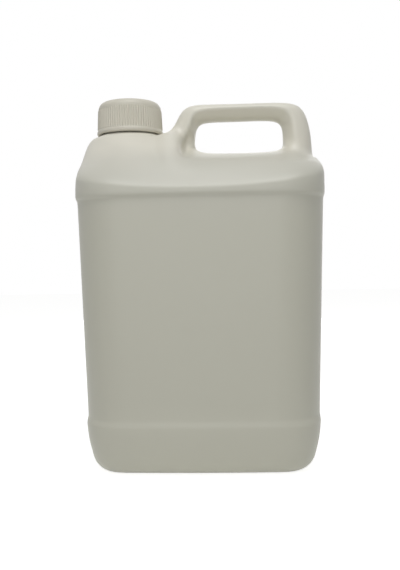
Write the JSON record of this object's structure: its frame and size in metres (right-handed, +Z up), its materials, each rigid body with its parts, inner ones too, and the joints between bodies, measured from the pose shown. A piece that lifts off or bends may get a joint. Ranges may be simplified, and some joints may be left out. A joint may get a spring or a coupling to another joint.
{
  "type": "plastic jerrycan",
  "caption": "Blow-moulded plastic jerrycan with a recessed panel, sloping shoulder, carrying handle in one with the can, and a ribbed screw cap that unscrews from the neck.",
  "frame": {"origin": "on the ground, under the middle of the can's base", "axes": "+Z up along the can's height, +X along its width from the neck's end to the handle's end, +Y along its depth, the side in the picture facing -Y"},
  "size_m": [0.19, 0.1354, 0.2867],
  "materials": {
    "can": "satin off-white polyethylene as it leaves the mould",
    "cap": "satin off-white moulded plastic, a little warmer than the can",
    "liner": "matt white foam sheet"
  },
  "bodies": {
    "can": {"can_body": "can"},
    "liner": {"cap_liner": "liner"},
    "cap": {"screw_cap": "cap"}
  },
  "joints": [
    {"name": "cap_rise", "type": "slide", "parent": "can", "child": "liner", "axis": [0, 0, 1], "range_m": [0, 0.024]},
    {"name": "cap_turn", "type": "hinge", "parent": "liner", "child": "cap", "pos_m": [-0.0565, 0, 0.27], "axis": [0, 0, 1], "range_deg": [0, 2160]}
  ],
  "couplings": [
    {"joint": "cap_rise", "follows": "cap_turn", "m_per_rad": 0.00063662}
  ]
}
